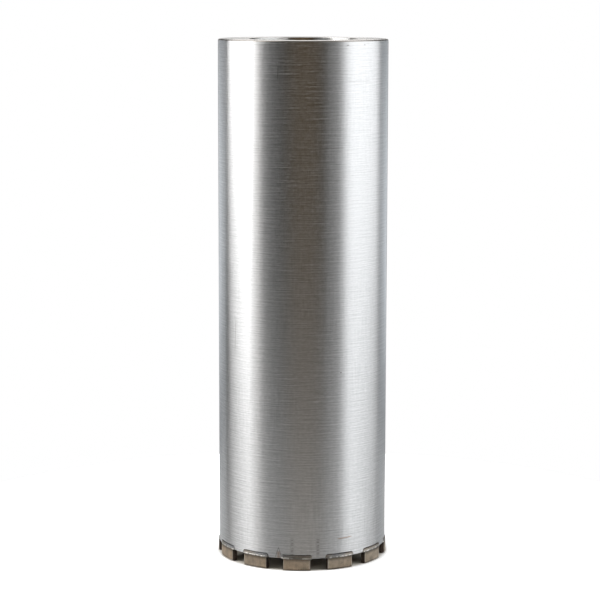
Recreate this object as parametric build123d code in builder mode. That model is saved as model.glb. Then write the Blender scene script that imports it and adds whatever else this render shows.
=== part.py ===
"""Diamond core bit: a thin steel barrel with a segmented cutting crown and a recessed screw-on head.

The barrel stands on its segments. The origin is on the barrel's axis, level with the cutting
faces of the segments, and +Z points up the barrel towards the head. All sizes are millimetres.
"""

from build123d import *
import os
from math import cos, radians, sin

# Barrel: one seamless tube, square at the crown and chamfered at the head
barrel_diameter = 150.5
barrel_wall = 2.5
barrel_length = 452.0
barrel_edge = 0.8

# Crown: sintered segments, wider than the barrel wall so that the barrel runs free in the cut
segment_count = 12
segment_length = 24.0
segment_height = 10.5
segment_outer_wear = 1.3
segment_inner_wear = 0.6
outer_kerf = 0.75
inner_kerf = 0.75

# Silver solder: a film under the rim, and a collar that climbs both faces of the wall and thins out
braze_film = 0.2
braze_band = 1.9
braze_slope = 2.1
braze_overlap = 2.0
braze_corner = 2.4

# Top plate: a turned disc, let into the barrel flush with its end
plate_thickness = 18.0
plate_clearance = 0.05
plate_lead = 1.5
recess_diameter = 97.0
recess_depth = 8.0
recess_edge = 0.5
plate_weld_width = 3.0
plate_weld_depth = 3.0

# Hub: a turned boss, tapped right through for the 1 1/4 inch, 7 threads per inch spindle thread
hub_diameter = 54.0
hub_length = 45.0
hub_edge = 2.0
hub_proud = 1.0
spigot_diameter = 44.0
spigot_clearance = 0.05
thread_major_diameter = 31.75
thread_minor_diameter = 28.2
hub_weld_leg = 5.0

# Radii and levels that follow from those
barrel_outer = barrel_diameter / 2
barrel_inner = barrel_outer - barrel_wall
segment_outer = barrel_outer + outer_kerf
segment_inner = barrel_inner - inner_kerf

rim_level = segment_height + braze_film
top_level = rim_level + barrel_length
plate_underside = top_level - plate_thickness
recess_floor = top_level - recess_depth
hub_top = recess_floor + hub_proud
hub_bottom = hub_top - hub_length


def export(piece, name):
    """Label a finished piece and write it as its own STEP file."""
    piece.part.label = name
    export_step(piece.part, f"parts/{name}.step")


def station(index):
    """Upright plane on the axis that faces outward at one segment, with its Y axis up."""
    angle = radians(360 / segment_count * index - 90)
    return Plane(
        origin=(0, 0, 0),
        x_dir=(-sin(angle), cos(angle), 0),
        z_dir=(cos(angle), sin(angle), 0),
    )


def make_barrel():
    """The tube, with its outer edge broken at the head end."""
    with BuildPart() as barrel:
        with BuildSketch(Plane.XY.offset(rim_level)):
            Circle(barrel_outer)
            Circle(barrel_inner, mode=Mode.SUBTRACT)
        extrude(amount=barrel_length)
        head_end = barrel.faces().sort_by(Axis.Z)[-1]
        chamfer(head_end.outer_wire().edges(), barrel_edge)
    export(barrel, "barrel")


def make_segment(name, plane):
    """One sintered block: straight ends, curved faces, and lower edges bevelled by the cut."""
    with BuildPart() as segment:
        with BuildSketch(plane):
            with Locations((0, segment_height / 2)):
                Rectangle(segment_length, segment_height)
        extrude(amount=segment_outer)
        with BuildSketch(Plane.XY):
            Circle(segment_outer)
            Circle(segment_inner, mode=Mode.SUBTRACT)
        extrude(amount=segment_height, mode=Mode.INTERSECT)
        for wear, place in ((segment_outer_wear, -1), (segment_inner_wear, 0)):
            lower_arcs = segment.edges().group_by(Axis.Z)[0].filter_by(GeomType.CIRCLE)
            chamfer(lower_arcs.sort_by(SortBy.RADIUS)[place], wear)
    export(segment, name)


def make_braze(name, plane):
    """One solder joint: a U-shaped collar that straddles the rim and narrows at its upper corners."""
    band_level = rim_level + braze_band
    slope_level = band_level + braze_slope
    collar_height = braze_film + braze_band + braze_slope
    with BuildPart() as braze:
        with BuildSketch(Plane.XZ):
            with BuildLine():
                Polyline(
                    (segment_inner, segment_height),
                    (segment_outer, segment_height),
                    (segment_outer, band_level),
                    (barrel_outer, slope_level),
                    (barrel_outer, rim_level),
                    (barrel_inner, rim_level),
                    (barrel_inner, slope_level),
                    (segment_inner, band_level),
                    close=True,
                )
            make_face()
        revolve(axis=Axis.Z)
        with BuildSketch(plane) as window:
            with Locations((0, segment_height + collar_height / 2)):
                Rectangle(segment_length + 2 * braze_overlap, collar_height)
            chamfer(window.vertices().group_by(Axis.Y)[-1], braze_corner)
        extrude(amount=segment_outer, mode=Mode.INTERSECT)
    export(braze, name)


def make_top_plate():
    """The disc that closes the barrel, with the spindle recess and a seat for the hub."""
    plate_radius = barrel_inner - plate_clearance
    recess_radius = recess_diameter / 2
    seat_radius = spigot_diameter / 2 + spigot_clearance
    with BuildPart() as plate:
        with BuildSketch(Plane.XZ):
            with BuildLine():
                Polyline(
                    (seat_radius, plate_underside),
                    (plate_radius - plate_lead, plate_underside),
                    (plate_radius, plate_underside + plate_lead),
                    (plate_radius, top_level - plate_weld_depth),
                    (barrel_inner - plate_weld_width, top_level),
                    (recess_radius + recess_edge, top_level),
                    (recess_radius, top_level - recess_edge),
                    (recess_radius, recess_floor),
                    (seat_radius, recess_floor),
                    close=True,
                )
            make_face()
        revolve(axis=Axis.Z)
    export(plate, "top_plate")


def make_plate_weld():
    """The weld that fills the bevel between plate and barrel, dressed flush with both."""
    groove_level = top_level - plate_weld_depth
    with BuildPart() as weld:
        with BuildSketch(Plane.XZ):
            with BuildLine():
                Polyline(
                    (barrel_inner - plate_clearance, groove_level),
                    (barrel_inner, groove_level),
                    (barrel_inner, top_level),
                    (barrel_inner - plate_weld_width, top_level),
                    close=True,
                )
            make_face()
        revolve(axis=Axis.Z)
    export(weld, "plate_weld")


def make_hub():
    """The spindle boss: shoulder under the plate, spigot through it, one bore for thread and water."""
    hub_radius = hub_diameter / 2
    spigot_radius = spigot_diameter / 2
    thread_radius = thread_minor_diameter / 2
    mouth_radius = thread_major_diameter / 2
    mouth_depth = mouth_radius - thread_radius
    with BuildPart() as hub:
        with BuildSketch(Plane.XZ):
            with BuildLine():
                Polyline(
                    (mouth_radius, hub_bottom),
                    (hub_radius - hub_edge, hub_bottom),
                    (hub_radius, hub_bottom + hub_edge),
                    (hub_radius, plate_underside),
                    (spigot_radius, plate_underside),
                    (spigot_radius, hub_top),
                    (mouth_radius, hub_top),
                    (thread_radius, hub_top - mouth_depth),
                    (thread_radius, hub_bottom + mouth_depth),
                    close=True,
                )
            make_face()
        revolve(axis=Axis.Z)
    export(hub, "hub")


def make_hub_weld():
    """The fillet weld round the boss, under the plate."""
    hub_radius = hub_diameter / 2
    with BuildPart() as weld:
        with BuildSketch(Plane.XZ):
            with BuildLine():
                Polyline(
                    (hub_radius, plate_underside),
                    (hub_radius, plate_underside - hub_weld_leg),
                    (hub_radius + hub_weld_leg, plate_underside),
                    close=True,
                )
            make_face()
        revolve(axis=Axis.Z)
    export(weld, "hub_weld")


os.makedirs("parts", exist_ok=True)
make_barrel()
make_top_plate()
make_plate_weld()
make_hub()
make_hub_weld()
for number in range(segment_count):
    make_segment(f"segment_{number + 1:02d}", station(number))
    make_braze(f"braze_{number + 1:02d}", station(number))
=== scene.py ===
"""Looks of a diamond core bit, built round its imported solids.

A turned steel barrel stands on twelve sintered segments, which are silver-soldered to its rim. Its
head is a recessed plate with a tapped hub. The script works in metres, with +Z up the barrel and
the first segment facing -Y.
"""

from math import atan2, cos, hypot, pi, radians, sin, sqrt, tau

import bmesh
import bpy
from mathutils import Matrix, Vector


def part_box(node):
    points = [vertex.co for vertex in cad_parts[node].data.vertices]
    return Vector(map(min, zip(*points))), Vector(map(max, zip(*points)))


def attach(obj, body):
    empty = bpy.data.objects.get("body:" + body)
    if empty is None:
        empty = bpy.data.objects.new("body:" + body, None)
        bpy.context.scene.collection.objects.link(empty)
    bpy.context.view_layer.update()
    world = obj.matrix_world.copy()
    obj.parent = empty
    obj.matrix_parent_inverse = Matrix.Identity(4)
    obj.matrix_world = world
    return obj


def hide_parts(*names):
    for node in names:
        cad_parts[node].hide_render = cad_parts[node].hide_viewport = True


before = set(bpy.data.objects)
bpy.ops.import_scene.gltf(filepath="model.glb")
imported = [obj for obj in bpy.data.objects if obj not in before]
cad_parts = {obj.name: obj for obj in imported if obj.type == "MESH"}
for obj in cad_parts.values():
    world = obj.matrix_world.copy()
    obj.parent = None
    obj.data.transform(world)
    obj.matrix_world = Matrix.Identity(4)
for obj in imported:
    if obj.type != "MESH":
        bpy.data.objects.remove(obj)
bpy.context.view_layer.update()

MM = 0.001
X, Y, Z = range(3)

# Sizes read from the frame
barrel_low, barrel_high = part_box("barrel")
plate_low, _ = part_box("top_plate")
hub_low, hub_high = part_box("hub")
bead_low, bead_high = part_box("hub_weld")
block_low, block_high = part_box("segment_01")
collar_low, collar_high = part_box("braze_01")

barrel_radius = barrel_high.x
rim = barrel_low.z
head = barrel_high.z
plate_underside = plate_low.z
hub_radius = hub_high.x
block_outer = -block_low.y
block_length = block_high.x - block_low.x
block_height = block_high.z
collar_length = collar_high.x - collar_low.x
collar_top = collar_high.z
segment_count = sum(node.startswith("segment_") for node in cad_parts)

# Sizes of what the boxes don't show
barrel_wall = 2.5 * MM
barrel_edge = 0.8 * MM
kerf = 0.75 * MM
bore = barrel_radius - barrel_wall
block_inner = bore - kerf
recess_radius = 48.5 * MM
recess_floor = head - 8 * MM
plate_clearance = 0.05 * MM
plate_lead = 1.5 * MM
plate_weld_width = 3 * MM
plate_weld_depth = 3 * MM
spigot_radius = 22 * MM
spigot_clearance = 0.05 * MM
hub_edge = 2 * MM
thread_major = 31.75 / 2 * MM
thread_minor = 28.2 / 2 * MM
threads_per_inch = 7
thread_pitch = 25.4 / threads_per_inch * MM

# Worn edges of a segment, and ripples of the hub's weld
outer_wear = 1.8 * MM
inner_wear = 0.8 * MM
block_edge = 0.25 * MM
weld_ripples = 84
ripple_depth = 0.045
ripple_bow = 2.5

# How finely round forms are cut, and how near two places count as one
turn_steps = 256
thread_steps = 64
ripple_steps = 6
floor_steps = 128
corner_cuts = 3
touch = 0.01 * MM

# Colours of the finishes and of the stage
bare_steel = (0.46, 0.46, 0.46)
tube_skin = (0.10, 0.088, 0.076)
# painted shade on the chamfer at the head of the barrel
chamfer_painted_shade = (0.30, 0.27, 0.24)
faced_plate = (0.50, 0.495, 0.485)
ground_weld = (0.44, 0.435, 0.425)
weld_silver = (0.42, 0.41, 0.39)
weld_straw = (0.24, 0.19, 0.14)
bond_warm = (0.302, 0.234, 0.166)
bond_cool = (0.283, 0.234, 0.178)
# painted shade for the end faces and the foot of each segment
bond_painted_shade = (0.055, 0.038, 0.029)
# painted highlight near the ends of each segment
bond_edge_highlight = (0.50, 0.46, 0.40)
solder_silver = (0.43, 0.41, 0.38)
solder_straw = (0.19, 0.17, 0.145)
solder_blue = (0.165, 0.167, 0.168)
scratch_dark = (0.16, 0.15, 0.14)
rust = (0.26, 0.14, 0.07)
pale_paper = (0.69, 0.69, 0.69)
# shaded_paper is painted shade on the floor under and beside the barrel
shaded_paper = (0.62, 0.58, 0.51)
room = (1.0, 1.0, 0.94)
white = (1.0, 1.0, 1.0)

# Marks on the barrel: bearing, height, length, width (mm), tilt (degrees), strength and colour
barrel_marks = [
    (-59.9, 175.8, 2.0, 1.6, 0, 0.9, scratch_dark),
    (-55.8, 458.9, 3.0, 1.6, 4, 0.9, scratch_dark),
    (-41.8, 459.0, 2.2, 1.6, -6, 0.9, scratch_dark),
    (-103.0, 436.2, 14.0, 1.2, 88, 0.45, scratch_dark),
    (-138.0, 205.0, 34.0, 1.4, 87, 0.6, scratch_dark),
    (-56.4, 27.5, 17.0, 1.3, 2, 0.8, rust),
    (-57.5, 26.6, 12.0, 1.0, 3, 0.5, scratch_dark),
    (-102.4, 13.6, 8.0, 5.2, 90, 0.55, rust),
    (-103.6, 15.6, 12.0, 1.0, 72, 0.8, scratch_dark),
    (-101.2, 15.6, 12.0, 1.0, 108, 0.8, scratch_dark),
    (-46.0, 428.2, 30.0, 1.3, 0, 0.4, scratch_dark),
    (-67.0, 371.6, 26.0, 1.3, 0.5, 0.4, scratch_dark),
]

# Upright columns of short dark chatter marks above the crown: bearing, height, length, width, tilt
chatter_marks = [(-93.1, 21.0, 20.0, 5.0, 90), (-75.7, 21.0, 20.0, 5.0, 90)]
chatter_strength = 0.7

# Camera: a long lens at the height of the head, a few degrees round from the first segment
lens = 126.83
sensor = 36.0
camera_place = Vector((-2.39, -1878.25, 512.98)) * MM
camera_pitch = 0.14977
camera_roll = 0.00191
camera_swing = 0.06514
camera_bearing = camera_swing - pi / 2

# Stage
floor_reach = 0.40
# The floor's glow is lower near the crown, which paints a soft shadow there.
floor_glow_near = 0.50
floor_glow_gain = 0.42
world_dim = 0.055
world_overhead = 0.22
world_beneath = 1.2
fill_power = 20.0
fill_size = 1.2
fill_place = (0, -2.2, 0.9)
fill_pitch = radians(72)


# ---------------------------------------------------------------- shader sums


class Wire:
    """An output socket of a node tree. Sums written on it add Math nodes to that tree."""

    def __init__(self, graph, socket):
        self.graph = graph
        self.socket = socket

    def __add__(self, other):
        return self.graph.math("ADD", self, other)

    def __radd__(self, other):
        return self.graph.math("ADD", other, self)

    def __sub__(self, other):
        return self.graph.math("SUBTRACT", self, other)

    def __rsub__(self, other):
        return self.graph.math("SUBTRACT", other, self)

    def __mul__(self, other):
        return self.graph.math("MULTIPLY", self, other)

    def __rmul__(self, other):
        return self.graph.math("MULTIPLY", other, self)

    def __abs__(self):
        return self.graph.math("ABSOLUTE", self)


class Graph:
    """The node tree of one material or world, emptied and ready for wiring."""

    def __init__(self, owner):
        owner.use_nodes = True
        self.tree = owner.node_tree
        self.tree.nodes.clear()

    def node(self, kind, settings=None, values=(), out=0):
        """Add a node: settings first, then the values or wires of its sockets."""
        node = self.tree.nodes.new(kind)
        for key, value in (settings or {}).items():
            setattr(node, key, value)
        pairs = values.items() if isinstance(values, dict) else enumerate(values)
        for key, value in pairs:
            if isinstance(value, Wire):
                self.tree.links.new(value.socket, node.inputs[key])
            else:
                node.inputs[key].default_value = value
        return Wire(self, node.outputs[out]) if node.outputs else node

    def math(self, operation, *values):
        return self.node("ShaderNodeMath", {"operation": operation}, values)

    def coordinates(self):
        return self.node("ShaderNodeTexCoord", out="Object")

    def camera_ray(self):
        """1 for rays straight from the camera, 0 for all others."""
        return self.node("ShaderNodeLightPath", out="Is Camera Ray")

    def parts(self, vector):
        """The X, Y and Z of a vector wire."""
        split = self.node("ShaderNodeSeparateXYZ", values=[vector])
        outputs = split.socket.node.outputs
        return [Wire(self, outputs[axis]) for axis in "XYZ"]

    def joined(self, x, y, z):
        """A vector wire of three parts."""
        return self.node("ShaderNodeCombineXYZ", values=[x, y, z])

    def vector(self, operation, *values, out=0):
        return self.node("ShaderNodeVectorMath", {"operation": operation}, values, out)

    def scaled(self, colour, tone):
        """A colour made lighter or darker by a varying tone."""
        values = {0: colour, "Scale": tone}
        return self.node("ShaderNodeVectorMath", {"operation": "SCALE"}, values)

    def noise(self, place, scale=1.0, detail=2.0, roughness=0.5):
        """Cloudy noise about 0.5, on a place already stretched to its pattern."""
        values = {"Vector": place, "Scale": scale, "Detail": detail, "Roughness": roughness}
        return self.node("ShaderNodeTexNoise", values=values)

    def rise(self, value, low, high):
        """Smooth step from 0 at low to 1 at high."""
        settings = {"interpolation_type": "SMOOTHSTEP"}
        return self.node("ShaderNodeMapRange", settings, [value, low, high])

    def blend(self, amount, first, second):
        """Mix of two colours."""
        settings = {"data_type": "RGBA"}
        return self.node("ShaderNodeMix", settings, {0: amount, 6: first, 7: second}, out=2)

    def bump(self, height, strength, distance):
        values = {"Height": height, "Strength": strength, "Distance": distance}
        return self.node("ShaderNodeBump", values=values)

    def glow(self, colour, strength):
        values = {"Color": opaque(colour), "Strength": strength}
        return self.node("ShaderNodeEmission", values=values)

    def background(self, colour, strength):
        values = {"Color": opaque(colour), "Strength": strength}
        return self.node("ShaderNodeBackground", values=values)

    def clear(self):
        """A shader that lets all light through."""
        return self.node("ShaderNodeBsdfTransparent", values={"Color": opaque(white)})

    def mix(self, amount, first, second):
        """Mix of two shaders."""
        return self.node("ShaderNodeMixShader", values=[amount, first, second])

    def finish(self, shader, kind="ShaderNodeOutputMaterial"):
        self.node(kind, values={"Surface": shader})


def opaque(colour):
    """A colour with the full alpha that colour sockets ask for."""
    return (*colour, 1.0)


def metal(graph, base, roughness, normal, metallic=1.0, grain=0.0):
    """Finish a material's graph with one metal surface; grain is its constant anisotropy."""
    values = {
        "Base Color": base,
        "Roughness": roughness,
        "Metallic": metallic,
        "Normal": normal,
        "Anisotropic": grain,
        "Anisotropic Rotation": 0.25 if grain else 0.0,
    }
    graph.finish(graph.node("ShaderNodeBsdfPrincipled", values=values))


def new_material(name):
    """A material, and its graph to wire."""
    material = bpy.data.materials.new(name)
    return material, Graph(material)


# ---------------------------------------------------------------- finishes


def stretched(graph, place, across, along):
    """Object place scaled for a pattern that runs round the barrel: across it and along it."""
    return graph.vector("MULTIPLY", place, (across, across, along))


def around(graph, place):
    """Distance from the barrel's axis, and height, of a place."""
    x, y, height = graph.parts(place)
    return graph.vector("LENGTH", graph.joined(x, y, 0.0), out="Value"), height


def beside_segment(graph, place, radius):
    """Distance of a place from the upright middle plane of its nearest segment."""
    x, y, _ = graph.parts(place)
    stations = graph.math("ARCTAN2", y, x) * (segment_count / tau) + 0.5
    angle = (graph.math("FRACT", stations) - 0.5) * (tau / segment_count)
    return abs(graph.math("SINE", angle)) * radius


def mark_mask(graph, place, bearing, height, length, width, tilt):
    """Mask of one straight mark on the barrel, in mm and degrees, soft at its edges and ends."""
    angle = radians(bearing)
    slant = radians(tilt)
    outward = (cos(angle), sin(angle), 0.0)
    along = (-sin(angle) * cos(slant), cos(angle) * cos(slant), sin(slant))
    up = (sin(angle) * sin(slant), -cos(angle) * sin(slant), cos(slant))
    centre = Vector(outward) * barrel_radius + Vector((0, 0, height * MM))
    offset = graph.vector("SUBTRACT", place, tuple(centre))
    reach = abs(graph.vector("DOT_PRODUCT", offset, along, out="Value"))
    spread = abs(graph.vector("DOT_PRODUCT", offset, up, out="Value"))
    depth = abs(graph.vector("DOT_PRODUCT", offset, outward, out="Value"))
    mask = 1 - graph.rise(reach, length * MM * 0.3, length * MM * 0.5)
    mask = mask * (1 - graph.rise(spread, 0.0, width * MM * 0.5))
    return mask * (1 - graph.rise(depth, 6 * MM, 8 * MM))


def turning_lines(graph, place):
    """Fine lines round the barrel, about 0: long ones with a light and a dark side, and nicks."""
    sway = graph.noise(place, scale=14.0, detail=1.0) - 0.5
    cut = graph.vector("ADD", place, graph.joined(0.0, 0.0, sway * 0.0015))
    next_cut = graph.vector("ADD", cut, (0.0, 0.0, 1 * MM))
    crests = graph.noise(stretched(graph, cut, 50, 1300), detail=0.0)
    troughs = graph.noise(stretched(graph, next_cut, 50, 1300), detail=0.0)
    nicks = graph.noise(stretched(graph, cut, 350, 1300), detail=0.0) - 0.5
    return (crests - troughs) * 0.75 + nicks * 0.6


def marked(graph, place, colour, lines):
    """A steel colour with the barrel's scratches, rust and chatter marks laid over it."""
    for *where, strength, tint in barrel_marks:
        mask = mark_mask(graph, place, *where)
        colour = graph.blend(mask * strength, colour, opaque(tint))
    for where in chatter_marks:
        mask = mark_mask(graph, place, *where) * graph.rise(lines, 0.0, 0.1)
        colour = graph.blend(mask * chatter_strength, colour, opaque(scratch_dark))
    return colour


def turned_steel():
    """Fine-turned outside and faced ends; the bore keeps the dull skin of the drawn tube. The
    chamfer at the head is painted dark, a painted shade.
    """
    material, graph = new_material("turned_steel")
    place = graph.coordinates()
    radius, height = around(graph, place)
    lines = turning_lines(graph, place)
    cloud = graph.noise(place, scale=9.0, detail=3.0) - 0.5
    upright = graph.noise(stretched(graph, place, 600, 60), detail=1.0) - 0.5
    hatched = graph.rise(graph.noise(place, scale=14.0, detail=1.0), 0.45, 0.62)
    tone = 1 + lines * 0.44 + upright * (0.06 + hatched * 0.2) + cloud * 0.06
    bright = marked(graph, place, graph.scaled(bare_steel, tone), lines)
    # Painted shade: the chamfer at the head is darkened.
    edge_level = head - barrel_edge
    edge_radius = barrel_radius - barrel_edge
    corner = graph.rise(height, edge_level - 0.05 * MM, edge_level + 0.1 * MM)
    corner = corner * graph.rise(radius, edge_radius, edge_radius + 0.1 * MM)
    bright = graph.blend(corner, bright, opaque(chamfer_painted_shade))
    scale_noise = graph.noise(stretched(graph, place, 120, 20), detail=3.0) - 0.5
    skin = graph.scaled(tube_skin, 1 + scale_noise * 0.6)
    inside = 1 - graph.rise(radius, bore + 0.05 * MM, bore + 0.25 * MM)
    steel = graph.blend(inside, bright, skin)
    roughness = 0.381 + lines * 0.1 + inside * 0.15
    normal = graph.bump(lines + inside * scale_noise, 0.1, 0.05 * MM)
    metal(graph, steel, roughness, normal, metallic=0.97 - lines * 0.52, grain=0.978)
    return material


def faced_steel(name, base, pitted=0.0):
    """Plate and hub faces: fine feed rings left by the lathe tool, with pinholes in weld metal."""
    material, graph = new_material(name)
    place = graph.coordinates()
    radius, height = around(graph, place)
    across = graph.joined(radius, height, 0.0)
    rings = graph.noise(across, scale=2500.0) - 0.5
    bands = graph.noise(across, scale=350.0, detail=1.0) - 0.5
    cloud = graph.noise(place, scale=40.0, detail=3.0) - 0.5
    pinholes = graph.rise(graph.noise(place, scale=700.0, detail=1.0), 0.66, 0.72) * pitted
    tone = (1 + rings * 0.35 + bands * 0.25 + cloud * 0.15) * (1 - pinholes * 0.7)
    roughness = 0.17 + rings * 0.05 + pitted * 0.04
    normal = graph.bump(rings + bands - pinholes, 0.3, 0.03 * MM)
    metal(graph, graph.scaled(base, tone), roughness, normal, grain=0.9)
    return material


def raw_weld():
    """Weld bead left as laid: silvery ripples with straw-coloured heat tint."""
    material, graph = new_material("raw_weld")
    place = graph.coordinates()
    lumps = graph.noise(place, scale=500.0, detail=3.0) - 0.5
    heat = graph.rise(graph.noise(place, scale=120.0), 0.42, 0.62)
    silver = graph.scaled(weld_silver, 1 + lumps * 0.5)
    straw = graph.scaled(weld_straw, 1 + lumps * 0.5)
    normal = graph.bump(lumps, 0.5, 0.2 * MM)
    metal(graph, graph.blend(heat, silver, straw), 0.34 + lumps * 0.2, normal)
    return material


def sintered_bond():
    """Metal bond of the segments: bronze-brown grit, scorched dark by the solder. The dark ends
    and foot of each segment are painted shade, and a light band near each end is a painted
    highlight.
    """
    material, graph = new_material("sintered_bond")
    place = graph.coordinates()
    radius, height = around(graph, place)
    beside = beside_segment(graph, place, radius)
    half_length = block_length / 2
    cloud = graph.noise(place, scale=70.0, detail=3.0) - 0.5
    mottle = graph.noise(place, scale=240.0) - 0.5
    streak = graph.noise(stretched(graph, place, 900, 90)) - 0.5
    grit = graph.noise(place, scale=2600.0, roughness=0.7) - 0.5
    pores = graph.rise(graph.noise(place, scale=1500.0, detail=1.0), 0.66, 0.74)
    scorched = height + cloud * 1.5 * MM
    heat = graph.rise(scorched, block_height - 3.4 * MM, block_height + 0.2 * MM)
    tone = 1.04 + cloud + mottle * 0.9 + streak * 0.5 + grit * 0.5
    tone = tone * (1 - heat * 0.7) * (1 - pores * 0.45)
    warm = graph.scaled(bond_warm, tone)
    cool = graph.scaled(bond_cool, tone)
    painted_shade = graph.scaled(bond_painted_shade, tone)
    edge_highlight = graph.scaled(bond_edge_highlight, tone)
    # Painted shade: the lowest mm or two of each segment is darkened, as in the shadow at its
    # foot.
    foot = 1 - graph.rise(height + cloud * 0.6 * MM, 0.2 * MM, 1.7 * MM)
    drift = graph.rise(graph.noise(place, scale=16.0, detail=1.0), 0.40, 0.60)
    # Painted shade: the end faces of each segment are darkened.
    ragged = beside + cloud * 0.2 * MM
    end = graph.rise(ragged, half_length - 0.22 * MM, half_length - 0.06 * MM)
    # Painted highlight: a lighter band just inside each end of a segment, where its edges catch
    # the light.
    edge_highlight_band = graph.rise(beside, half_length - 0.9 * MM, half_length - 0.3 * MM)
    colour = graph.blend(drift, warm, cool)
    colour = graph.blend(edge_highlight_band * 0.5, colour, edge_highlight)
    colour = graph.blend(graph.math("MAXIMUM", end, foot * 0.75), colour, painted_shade)
    roughness = 0.50 + grit * 0.25 + streak * 0.1
    normal = graph.bump(grit * 0.6 + streak * 0.6 - pores * 0.5, 0.5, 0.08 * MM)
    metal(graph, colour, roughness, normal, metallic=0.45)
    return material


def silver_solder():
    """Broken silver line of solder on the segment, and above it the dark film of flux and heat."""
    material, graph = new_material("silver_solder")
    place = graph.coordinates()
    _, height = around(graph, place)
    lumps = graph.noise(place, scale=420.0, detail=3.0, roughness=0.6) - 0.5
    tint = graph.rise(graph.noise(place, scale=26.0), 0.42, 0.58)
    bright_part = graph.rise(graph.noise(place, scale=260.0), 0.44, 0.62)
    level = height + lumps * 0.8 * MM
    tarnish = graph.rise(level, block_height + 1.0 * MM, block_height + 1.5 * MM)
    silver = graph.scaled(solder_silver, (0.40 + bright_part * 0.60) * (1 + lumps * 0.9))
    straw = graph.scaled(solder_straw, 1 + lumps * 0.8)
    blue = graph.scaled(solder_blue, 1 + lumps * 0.8)
    colour = graph.blend(tarnish, silver, graph.blend(tint, blue, straw))
    roughness = 0.34 + tarnish * 0.16 + lumps * 0.1
    metal(graph, colour, roughness, graph.bump(lumps, 0.8, 0.3 * MM))
    return material


# ---------------------------------------------------------------- modelling


def rounded(shape, geometry, affect, rounding, segments):
    """Round some corners or edges of a shape."""
    bmesh.ops.bevel(
        shape,
        geom=geometry,
        offset=rounding,
        offset_type="OFFSET",
        affect=affect,
        segments=segments,
        profile=0.5,
        material=-1,
        clamp_overlap=affect == "EDGES",
    )


def outline_face(corners, place):
    """A shape of one face, from (radius, height, rounding) corners and where each is placed."""
    shape = bmesh.new()
    points = [shape.verts.new(place(radius, height)) for radius, height, _ in corners]
    shape.faces.new(points)
    for rounding in sorted({corner[2] for corner in corners} - {0}):
        alike = [point for point, corner in zip(points, corners) if corner[2] == rounding]
        rounded(shape, alike, "VERTICES", rounding, corner_cuts)
    return shape


def turned(corners, steps=turn_steps):
    """Spin an outline of (radius, height, rounding) corners into a closed ring about the axis."""
    shape = outline_face(corners, lambda radius, height: (radius, 0, height))
    bmesh.ops.delete(shape, geom=shape.faces[:], context="FACES_ONLY")
    bmesh.ops.spin(
        shape,
        geom=shape.verts[:] + shape.edges[:],
        axis=(0, 0, 1),
        cent=(0, 0, 0),
        angle=tau,
        steps=steps,
        use_merge=True,
    )
    bmesh.ops.recalc_face_normals(shape, faces=shape.faces)
    return shape


def slice_along(shape, axis, low, high, cuts):
    """Cut loops across a shape at even places between two levels of an axis."""
    direction = Vector((0, 0, 0))
    direction[axis] = 1
    for step in range(1, cuts + 1):
        level = low + (high - low) * step / (cuts + 1)
        bmesh.ops.bisect_plane(
            shape,
            geom=shape.verts[:] + shape.edges[:] + shape.faces[:],
            dist=touch,
            plane_co=direction * level,
            plane_no=direction,
        )


def bend_to_station(shape, index):
    """Bend a straight block that faces -Y onto arcs about the axis, and turn it to its station.

    The ends of the block stay parallel.
    """
    for point in shape.verts:
        radius = -point.co.y
        point.co.y = -sqrt(radius**2 - point.co.x**2)
    bmesh.ops.rotate(
        shape,
        verts=shape.verts,
        cent=(0, 0, 0),
        matrix=Matrix.Rotation(tau / segment_count * index, 3, "Z"),
    )
    bmesh.ops.recalc_face_normals(shape, faces=shape.faces)


def new_object(name, shape, material):
    """Put a shape in the scene as an object of one material."""
    mesh = bpy.data.meshes.new(name)
    shape.to_mesh(mesh)
    shape.free()
    mesh.materials.append(material)
    made = bpy.data.objects.new(name, mesh)
    bpy.context.scene.collection.objects.link(made)
    return made


def place_piece(shape, name, material, slot, *nodes):
    """Make a finished piece of a shape, shaded evenly, and let it stand for its CAD nodes."""
    piece = new_object(name, shape, material)
    piece.data.polygons.foreach_set("use_smooth", [True] * len(piece.data.polygons))
    piece.modifiers.new("even_shading", "WEIGHTED_NORMAL")
    evaluated = piece.evaluated_get(bpy.context.evaluated_depsgraph_get())
    piece.data = bpy.data.meshes.new_from_object(evaluated)
    piece.modifiers.clear()
    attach(piece, "root")
    if nodes:
        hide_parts(*nodes)


def make_barrel(steel):
    """The tube, with its outer edge broken at the head."""
    shape = turned(
        [
            (barrel_radius, rim, 0.3 * MM),
            (barrel_radius, head - barrel_edge, 0.2 * MM),
            (barrel_radius - barrel_edge, head, 0.2 * MM),
            (bore, head, 0),
            (bore, rim, 0.3 * MM),
        ]
    )
    place_piece(shape, "barrel_tube", steel, "barrel_steel", "barrel")


def make_plate(steel):
    """The disc that closes the head, with its recess and the seat of the hub."""
    plate_radius = bore - plate_clearance
    seat_radius = spigot_radius + spigot_clearance
    shape = turned(
        [
            (seat_radius, plate_underside, 0.1 * MM),
            (plate_radius - plate_lead, plate_underside, 0.3 * MM),
            (plate_radius, plate_underside + plate_lead, 0.3 * MM),
            (plate_radius, head - plate_weld_depth, 0),
            (bore - plate_weld_width, head, 0),
            (recess_radius, head, 0.5 * MM),
            (recess_radius, recess_floor, 0.8 * MM),
            (seat_radius, recess_floor, 0.1 * MM),
        ]
    )
    place_piece(shape, "head_plate", steel, "plate_steel", "top_plate")


def make_plate_weld(weld):
    """The weld between plate and tube, dressed flush."""
    shape = turned(
        [
            (bore - plate_clearance, head - plate_weld_depth, 0),
            (bore, head - plate_weld_depth, 0),
            (bore, head, 0),
            (bore - plate_weld_width, head, 0),
        ]
    )
    place_piece(shape, "head_weld", weld, "weld_metal", "plate_weld")


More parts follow.
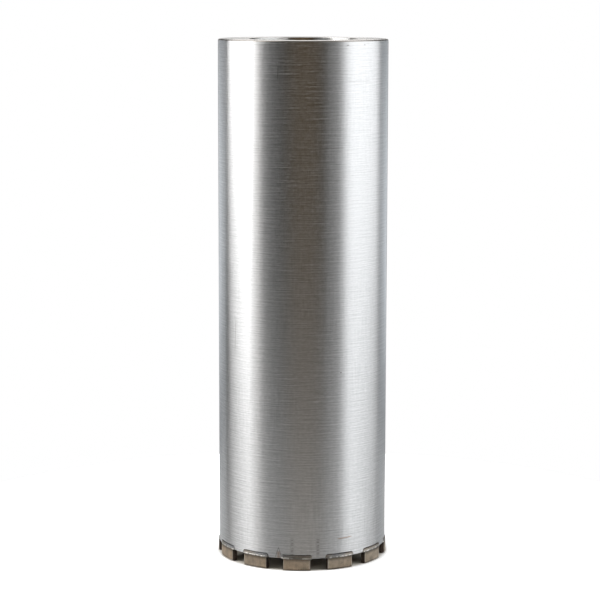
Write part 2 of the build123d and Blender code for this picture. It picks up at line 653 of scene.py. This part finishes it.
def make_hub(steel):
    """The spindle boss: shoulder under the plate, spigot through it, bore at the thread's root."""
    shape = turned(
        [
            (thread_major, hub_low.z, 0.2 * MM),
            (hub_radius - hub_edge, hub_low.z, 0.4 * MM),
            (hub_radius, hub_low.z + hub_edge, 0.4 * MM),
            (hub_radius, plate_underside, 0),
            (spigot_radius, plate_underside, 0),
            (spigot_radius, hub_high.z, 0.4 * MM),
            (thread_major, hub_high.z, 0.2 * MM),
        ]
    )
    place_piece(shape, "spindle_hub", steel, "hub_steel", "hub")


def make_thread(steel):
    """Right-handed ridge of the spindle thread, seated in the hub's bore."""
    root = thread_major + 0.1 * MM
    root_half = thread_pitch * 7 / 16
    crest_half = thread_pitch / 8
    first = hub_low.z + root_half
    turns = (hub_high.z - hub_low.z - 2 * root_half) / thread_pitch
    steps = int(turns * thread_steps)
    outline = [
        (root, first - root_half, 0),
        (thread_minor, first - crest_half, 0),
        (thread_minor, first + crest_half, 0),
        (root, first + root_half, 0),
    ]
    shape = outline_face(outline, lambda radius, height: (radius, 0, height))
    bmesh.ops.spin(
        shape,
        geom=shape.faces[:] + shape.edges[:] + shape.verts[:],
        axis=(0, 0, 1),
        cent=(0, 0, 0),
        angle=tau * steps / thread_steps,
        dvec=(0, 0, thread_pitch / thread_steps),
        steps=steps,
    )
    for point in shape.verts:
        depth = min(point.co.z - hub_low.z, hub_high.z - point.co.z)
        radius = hypot(point.co.x, point.co.y)
        mouth = thread_major - depth
        if radius < mouth:
            point.co.x *= mouth / radius
            point.co.y *= mouth / radius
    bmesh.ops.recalc_face_normals(shape, faces=shape.faces)
    place_piece(shape, "spindle_thread", steel, "hub_steel")


def make_hub_weld(weld):
    """Fillet bead between hub and plate, with the curved ripples of a weld pool."""
    leg = bead_high.x - hub_radius
    throat = leg * 0.66
    shape = turned(
        [
            (hub_radius, bead_high.z, 0),
            (hub_radius, bead_low.z, 0.3 * MM),
            (hub_radius + throat, bead_high.z - throat, 2 * MM),
            (bead_high.x, bead_high.z, 0.3 * MM),
        ],
        steps=weld_ripples * ripple_steps,
    )
    for point in shape.verts:
        radius = hypot(point.co.x, point.co.y)
        out = radius - hub_radius
        down = bead_high.z - point.co.z
        if out + down < touch:
            continue
        bow = (2 * down / (out + down) - 1) ** 2
        ripple = cos(weld_ripples * atan2(point.co.y, point.co.x) + ripple_bow * bow)
        kept = 1 - ripple_depth + ripple_depth * ripple
        point.co.x *= (hub_radius + out * kept) / radius
        point.co.y *= (hub_radius + out * kept) / radius
        point.co.z = bead_high.z - down * kept
    place_piece(shape, "hub_bead", weld, "weld_metal", "hub_weld")


def lower_edges(shape, radius):
    """The long lower edges of a straight block's face at one radius."""
    return [
        edge
        for edge in shape.edges
        if all(abs(point.co.y + radius) < touch and point.co.z < touch for point in edge.verts)
    ]


def make_block(index, bond):
    """One sintered segment: sharp upright edges, lower edges worn round."""
    shape = bmesh.new()
    bmesh.ops.create_cube(shape, size=1)
    size = (block_length, block_outer - block_inner, block_height)
    middle = (0, -(block_outer + block_inner) / 2, block_height / 2)
    bmesh.ops.scale(shape, verts=shape.verts, vec=size)
    bmesh.ops.translate(shape, verts=shape.verts, vec=middle)
    rounded(shape, lower_edges(shape, block_outer), "EDGES", outer_wear, 6)
    rounded(shape, lower_edges(shape, block_inner), "EDGES", inner_wear, 4)
    sharp = [edge for edge in shape.edges if edge.calc_face_angle(0) > radians(40)]
    rounded(shape, sharp, "EDGES", block_edge, 2)
    slice_along(shape, X, -block_length / 2, block_length / 2, 15)
    slice_along(shape, Z, 2 * MM, block_height, 5)
    slice_along(shape, Y, -block_outer, -block_inner, 2)
    bend_to_station(shape, index)
    number = f"{index + 1:02d}"
    place_piece(shape, f"cutting_segment_{number}", bond, "segment_bond", f"segment_{number}")


def make_collar(index, solder):
    """One solder joint: a bead on each ledge of a segment, thinning out up the wall."""
    reach = collar_length / 2
    bead_top = block_height + 0.9 * MM
    skin_top = bead_top + 0.35 * MM
    ledge = 0.72 * MM
    skin = 0.32 * MM
    sunk = 0.05 * MM
    corners = [
        (barrel_radius + ledge, block_height, 0.1 * MM),
        (barrel_radius + ledge, bead_top, 0.35 * MM),
        (barrel_radius + skin, skin_top, 0.3 * MM),
        (barrel_radius - sunk, collar_top, 0),
        (barrel_radius - sunk, rim, 0),
        (bore + sunk, rim, 0),
        (bore + sunk, collar_top, 0),
        (bore - skin, skin_top, 0.3 * MM),
        (bore - ledge, bead_top, 0.35 * MM),
        (bore - ledge, block_height, 0.1 * MM),
    ]
    shape = outline_face(corners, lambda radius, height: (-reach, -radius, height))
    grown = bmesh.ops.extrude_face_region(shape, geom=shape.faces[:], use_keep_orig=True)
    end_points = [item for item in grown["geom"] if isinstance(item, bmesh.types.BMVert)]
    bmesh.ops.translate(shape, verts=end_points, vec=(collar_length, 0, 0))
    slice_along(shape, X, -reach, reach, 39)
    flat = block_length / 2 - 0.3 * MM
    thin_end = 0.04
    for point in shape.verts:
        past = max(0.0, (abs(point.co.x) - flat) / (reach - flat))
        full = thin_end + (1 - thin_end) * sqrt(max(0.0, 1 - past**2))
        radius = -point.co.y
        if radius > barrel_radius:
            radius = barrel_radius + (radius - barrel_radius) * full
        elif radius < bore:
            radius = bore - (bore - radius) * full
        point.co.y = -radius
        if point.co.z > rim:
            point.co.z = rim + (point.co.z - rim) * full
    bend_to_station(shape, index)
    number = f"{index + 1:02d}"
    place_piece(shape, f"solder_collar_{number}", solder, "silver_solder", f"braze_{number}")


# ---------------------------------------------------------------- stage


def make_floor():
    """Pale round floor, painted dark where the barrel stands, with a painted shadow round the
    crown; it lets light from below into the bore.
    """
    material, graph = new_material("floor_paper")
    camera = graph.camera_ray()
    place = graph.coordinates()
    distance, _ = around(graph, place)
    opening = bore - 1 * MM
    outside = graph.rise(distance, opening, block_outer + 3.5 * MM)
    beside = beside_segment(graph, place, distance)
    beside = graph.rise(beside, block_length / 2, block_length / 2 + 0.8 * MM)
    beyond = graph.rise(distance, block_outer, block_outer + 0.9 * MM)
    open_floor = outside * graph.math("MAXIMUM", beside, beyond)
    # Painted shade: the paper is darker and warmer under and beside the barrel.
    shade = graph.blend(outside, opaque(shaded_paper), opaque(pale_paper))
    paper = graph.node("ShaderNodeBsdfDiffuse", values={"Color": shade})
    # Painted shadow: the camera's glow on the floor is held back inside the bore, in the gaps, and
    # for some mm round the crown.
    away = graph.rise(distance, block_outer - 2 * MM, block_outer + 14 * MM)
    whiteness = open_floor * (floor_glow_near + away * floor_glow_gain)
    glow = graph.glow(white, camera * whiteness)
    lit = graph.node("ShaderNodeAddShader", values=[paper, glow])
    below = graph.node("ShaderNodeNewGeometry", out="Backfacing")
    within = graph.math("LESS_THAN", distance, opening) * (1 - camera)
    graph.finish(graph.mix(graph.math("MAXIMUM", below, within), lit, graph.clear()))
    shape = bmesh.new()
    bmesh.ops.create_circle(shape, cap_ends=True, radius=floor_reach, segments=floor_steps)
    floor = new_object("floor", shape, material)


def make_panel(
    name, bearing, distance, width, low, high, strength,
    warmth=0.0, feather=0.1, lean=0.0, taper=0.0,
):
    """Upright light panel at a bearing from the camera, facing the axis and soft at its sides.

    Its half width changes by the taper with height above its middle.
    """
    material, graph = new_material(name)
    x, y, _ = graph.parts(graph.coordinates())
    solid = 1 - graph.rise(abs(x) - y * taper, (width - feather) / 2, (width + feather) / 2)
    glow = graph.glow((1 + warmth, 1.0, 1 - warmth), strength)
    graph.finish(graph.mix(solid, graph.clear(), glow))
    shape = bmesh.new()
    bmesh.ops.create_grid(shape, x_segments=1, y_segments=1, size=0.5)
    span = width + feather + abs(taper) * (high - low)
    bmesh.ops.scale(shape, verts=shape.verts, vec=(span, high - low, 1))
    panel = new_object(name, shape, material)
    angle = camera_bearing + radians(bearing)
    place = Vector((cos(angle) * distance, sin(angle) * distance, (low + high) / 2))
    panel.matrix_world = (
        Matrix.Translation(place)
        @ (Matrix.Rotation(angle + pi / 2, 4, "Z") @ Matrix.Rotation(pi / 2, 4, "X"))
        @ Matrix.Rotation(radians(lean), 4, "Z")
    )
    panel.visible_camera = False


def make_panels():
    """Two tall softboxes beside the barrel, dim cards before it and a low pale wall behind it."""
    make_panel(
        "left_softbox", -79, 0.883, 0.605, 0.20, 2.57, 5.6,
        feather=0.06, lean=-16.8, taper=-0.145,
    )
    make_panel(
        "right_softbox", 82.2, 0.918, 0.837, 0.0, 2.08, 3.05,
        warmth=-0.02, feather=0.446, lean=12.6, taper=-0.25,
    )
    make_panel("left_card", -65, 1.35, 0.253, 0.0, 1.2, 1.8, warmth=0.03, feather=0.3)
    make_panel("right_card", 57, 1.9, 1.78, 0.0, 1.97, 0.52, warmth=0.01, feather=0.5)
    make_panel("left_wall", -144, 1.1, 0.74, 0.0, 0.44, 1.13, warmth=-0.05)
    make_panel("right_wall", 144, 1.1, 0.74, 0.0, 0.44, 1.13, warmth=-0.06)
    make_panel("back_paper", 180, 1.0, 0.9, 0.46, 0.58, 0.66, warmth=0.01)
    make_panel("back_light", 180, 1.0, 0.34, 0.58, 0.97, 1.5, warmth=0.03)
    make_panel("front_dark", 3, 1.9, 1.6, 0.0, 1.1, 0.12, warmth=0.8, feather=1.3)


def make_world():
    """A dim room, lighter overhead and straight below, that the camera sees as white."""
    world = bpy.data.worlds.new("studio")
    bpy.context.scene.world = world
    graph = Graph(world)
    direction = graph.node("ShaderNodeTexCoord", out="Generated")
    slope = graph.parts(direction)[Z]
    overhead = graph.rise(slope, 0.5, 0.95)
    beneath = graph.rise(-1 * slope, 0.85, 0.95)
    power = world_dim + overhead * world_overhead + beneath * world_beneath
    dim = graph.background(room, power)
    sky = graph.mix(graph.camera_ray(), dim, graph.background(white, 1.0))
    graph.finish(sky, "ShaderNodeOutputWorld")


def make_fill():
    """One soft lamp before the barrel, which shows in no reflection."""
    fill_data = bpy.data.lights.new("front_fill", "AREA")
    fill_data.size = fill_size
    fill_data.energy = fill_power
    fill = bpy.data.objects.new("front_fill", fill_data)
    bpy.context.scene.collection.objects.link(fill)
    fill.matrix_world = (
        Matrix.Rotation(camera_swing, 4, "Z")
        @ Matrix.Translation(fill_place)
        @ Matrix.Rotation(fill_pitch, 4, "X")
    )
    fill.visible_glossy = False
    fill.visible_camera = False


def set_camera():
    """The long lens, turned round with the stage."""
    camera_data = bpy.data.cameras.new("camera")
    camera_data.lens = lens
    camera_data.sensor_width = sensor
    camera_data.sensor_fit = "HORIZONTAL"
    camera = bpy.data.objects.new("camera", camera_data)
    bpy.context.scene.collection.objects.link(camera)
    camera.matrix_world = (
        Matrix.Rotation(camera_swing, 4, "Z")
        @ Matrix.Translation(camera_place)
        @ Matrix.Rotation(pi / 2 - camera_pitch, 4, "X")
        @ Matrix.Rotation(camera_roll, 4, "Z")
    )
    bpy.context.scene.camera = camera


steel = turned_steel()
faced = faced_steel("faced_steel", faced_plate)
dressed = faced_steel("dressed_weld", ground_weld, pitted=1.0)
weld = raw_weld()
bond = sintered_bond()
solder = silver_solder()

make_barrel(steel)
make_plate(faced)
make_plate_weld(dressed)
make_hub(faced)
make_thread(faced)
make_hub_weld(weld)
for index in range(segment_count):
    make_block(index, bond)
    make_collar(index, solder)

make_floor()
make_panels()
make_world()
make_fill()
set_camera()
bpy.context.scene.view_settings.view_transform = "Standard"
